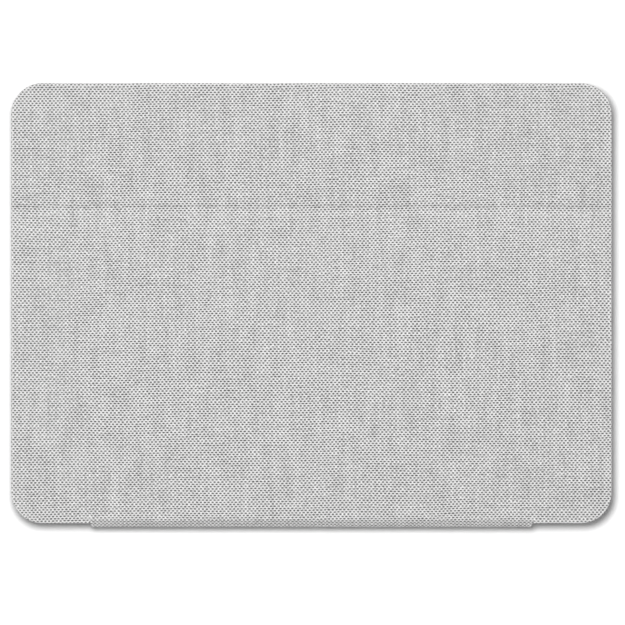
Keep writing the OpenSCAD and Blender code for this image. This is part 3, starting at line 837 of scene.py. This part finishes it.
def rounded(piece, width, segments):
    """Rounds a piece's sharp edges."""
    bevel = piece.modifiers.new("round_edges", "BEVEL")
    bevel.width = width
    bevel.segments = segments
    bevel.limit_method = "ANGLE"
    bevel.angle_limit = math.radians(40)
    bevel.harden_normals = True
    bevel.use_clamp_overlap = True


def softened(node, body, width, segments=3):
    """A copy of a frame's solid with its sharp edges rounded, in place of the solid."""
    bm = bmesh.new()
    bm.from_mesh(frame["nodes"][node].data)
    bmesh.ops.remove_doubles(bm, verts=bm.verts, dist=1e-6)
    bmesh.ops.dissolve_limit(bm, angle_limit=math.radians(2), verts=bm.verts, edges=bm.edges)
    slot = NODE_SLOTS[node]
    piece = finish_piece(node + "_moulded", bm, SLOT_MATERIALS[slot])
    rounded(piece, width, segments)
    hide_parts(node)
    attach(piece, body)
    return piece


def key_islands(node):
    """The lowest and highest corner of each keycap in a node."""
    bm = bmesh.new()
    bm.from_mesh(frame["nodes"][node].data)
    bmesh.ops.remove_doubles(bm, verts=bm.verts, dist=1e-6)
    left = set(bm.verts)
    boxes = []
    while left:
        todo = [next(iter(left))]
        island = set(todo)
        while todo:
            vert = todo.pop()
            for edge in vert.link_edges:
                other = edge.other_vert(vert)
                if other not in island:
                    island.add(other)
                    todo.append(other)
        left -= island
        lows = [min(v.co[k] for v in island) for k in range(3)]
        highs = [max(v.co[k] for v in island) for k in range(3)]
        boxes.append((Vector(lows), Vector(highs)))
    bm.free()
    return sorted(boxes, key=lambda b: (b[0].x, b[0].y))


def add_keycap(bm, low, high):
    """One dished keycap: straight skirt, rounded shoulder, shallow dish."""
    radius = 1.5 * MM
    least = 0.15 * MM        # no ring's corners are sharper than this
    skirt = 0.35 * MM
    draft = 0.12 * MM
    shoulder = 0.32 * MM
    top = high.z
    dish = 0.13 * MM
    shape = outline(low, high, radius, 5)
    middle = Vector(((low.x + high.x) / 2, (low.y + high.y) / 2))
    half = min(high.x - low.x, high.y - low.y) / 2
    rows = [(0.0, low.z), (0.0, low.z + skirt), (draft, top - shoulder)]
    for i in range(1, 5):
        a = math.radians(90 * i / 4)
        rows.append((draft + shoulder * (1 - math.cos(a)), top - shoulder * (1 - math.sin(a))))
    flat = rows[-1][0]
    steps = 6
    reach = half - 0.8 * MM - flat
    for i in range(1, steps + 1):
        t = i / steps
        rows.append((flat + reach * t, top - dish * math.sin(t * math.pi / 2)))
    rings = []
    for inset, z in rows:
        verts = []
        for centre, out in shape:
            keep = max(radius - inset, least)
            shift = max(0.0, inset - (radius - least))
            at = centre + out * keep
            at.x -= math.copysign(min(shift, abs(at.x - middle.x)), at.x - middle.x)
            at.y -= math.copysign(min(shift, abs(at.y - middle.y)), at.y - middle.y)
            verts.append(bm.verts.new((at.x, at.y, z)))
        rings.append(verts)
    join_rings(bm, rings, cap_first=True, cap_last=True)


def add_bar(bm, low, high):
    """The low raised bar that a finger finds on a home key, near the cap's front edge."""
    length, width, height = 3.2 * MM, 0.7 * MM, 0.16 * MM
    centre = Vector(((low.x + high.x) / 2, low.y + 3.2 * MM))
    foot = high.z - 0.2 * MM
    shape = outline((centre.x - length / 2, centre.y - width / 2),
                    (centre.x + length / 2, centre.y + width / 2), width * 0.49, 5)
    rings = []
    for inset, z in ((0.0, foot), (0.0, high.z), (0.07 * MM, high.z + 0.7 * height),
                     (0.2 * MM, high.z + height)):
        rings.append([bm.verts.new((*(at + out * (width * 0.49 - inset)), z)) for at, out in shape])
    join_rings(bm, rings, cap_first=True, cap_last=True)


BAR_KEYS = (3, 6)            # the home row's letters that carry a bar, counted from one end


def keycaps():
    """Dished caps in place of every plain keycap of the frame."""
    for body, nodes in frame["record"]["behaviour"]["bodies"].items():
        for node in nodes:
            if NODE_SLOTS[node] != "key_plastic":
                continue
            bm = bmesh.new()
            for i, (low, high) in enumerate(key_islands(node)):
                add_keycap(bm, low, high)
                if node == "home_row_keys" and i in BAR_KEYS:
                    add_bar(bm, low, high)
            piece = finish_piece(node + "_caps", bm, KEY)
            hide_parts(node)
            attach(piece, body)


# ---- floor, light and camera ------------------------------------------------------------

VIEW_WIDTH = 262.25 * MM      # what the view takes in, at the height of the cover
VIEW_CENTRE = Vector((-0.42 * MM, 2.94 * MM, COVER_TOP))
LENS = 600.0
SENSOR = 36.0


FLOOR_HALF = 3.0
FLOOR_GAP = 0.01 * MM         # the floor lies this far under the case


def stage_floor():
    bm = bmesh.new()
    half = FLOOR_HALF
    for x, y in ((-half, -half), (half, -half), (half, half), (-half, half)):
        bm.verts.new((x, y, -FLOOR_GAP))
    bm.faces.new(bm.verts)
    mesh = bpy.data.meshes.new("floor")
    bm.to_mesh(mesh)
    bm.free()
    floor = bpy.data.objects.new("floor", mesh)
    bpy.context.scene.collection.objects.link(floor)
    material, t, shader = new_material("pale_floor")
    cloud = t.noise(place_in_row(t), 3.0, 2.0)
    t.set(shader, "Base Color", t.mix(cloud, grey(0.94), grey(0.955)))
    shader.inputs["Roughness"].default_value = 0.9
    shader.inputs["Specular IOR Level"].default_value = 0.0
    mesh.materials.append(material)


def area_light(name, direction, distance, size, power):
    data = bpy.data.lights.new(name, "AREA")
    data.shape = "DISK"
    data.size = size
    data.energy = power
    light = bpy.data.objects.new(name, data)
    way = Vector(direction).normalized()
    light.location = way * distance
    light.rotation_euler = way.to_track_quat("Z", "Y").to_euler()
    light.visible_camera = False
    bpy.context.scene.collection.objects.link(light)


LAMP_DIRECTION = (0.065, -0.108, 1.0)
LAMP_DISTANCE = 1.5
LAMP_SIZE = 0.41
LAMP_POWER = 20.8
ROOM_LIGHT = 0.281


def studio():
    """One soft lamp almost overhead, and even light from the room."""
    area_light("key_light", LAMP_DIRECTION, LAMP_DISTANCE, LAMP_SIZE, LAMP_POWER)
    world = bpy.data.worlds.new("soft_room")
    world.use_nodes = True
    background = world.node_tree.nodes["Background"]
    background.inputs["Color"].default_value = (1, 1, 1, 1)
    background.inputs["Strength"].default_value = ROOM_LIGHT
    bpy.context.scene.world = world
    bpy.context.scene.view_settings.view_transform = "Standard"
    bpy.context.scene.view_settings.look = "None"


def camera_above():
    data = bpy.data.cameras.new("camera")
    data.lens = LENS
    data.sensor_width = SENSOR
    camera = bpy.data.objects.new("camera", data)
    distance = VIEW_WIDTH * LENS / SENSOR
    camera.location = VIEW_CENTRE + Vector((0, 0, distance))
    camera.rotation_euler = (0, 0, math.pi)
    data.clip_end = 20
    bpy.context.scene.collection.objects.link(camera)
    bpy.context.scene.camera = camera


# ---- putting it together ----------------------------------------------------------------


stage_floor()
studio()
camera_above()
dress_frame()
cover = fabric_cover()
strips = spine_fabric()
base = fabric_base()
lining = cover_lining()
lining_strips = spine_lining()
spine_board()
softened("deck_frame", "keyboard", 0.6 * MM, 4)
softened("tablet_rest_strip", "keyboard", 0.3 * MM)
softened("deck_bumpers", "keyboard", 0.25 * MM)
softened("tablet_holder", "flap", 0.3 * MM)
softened("power_switch_slider", "power_slider", 0.12 * MM, 2)
keycaps()
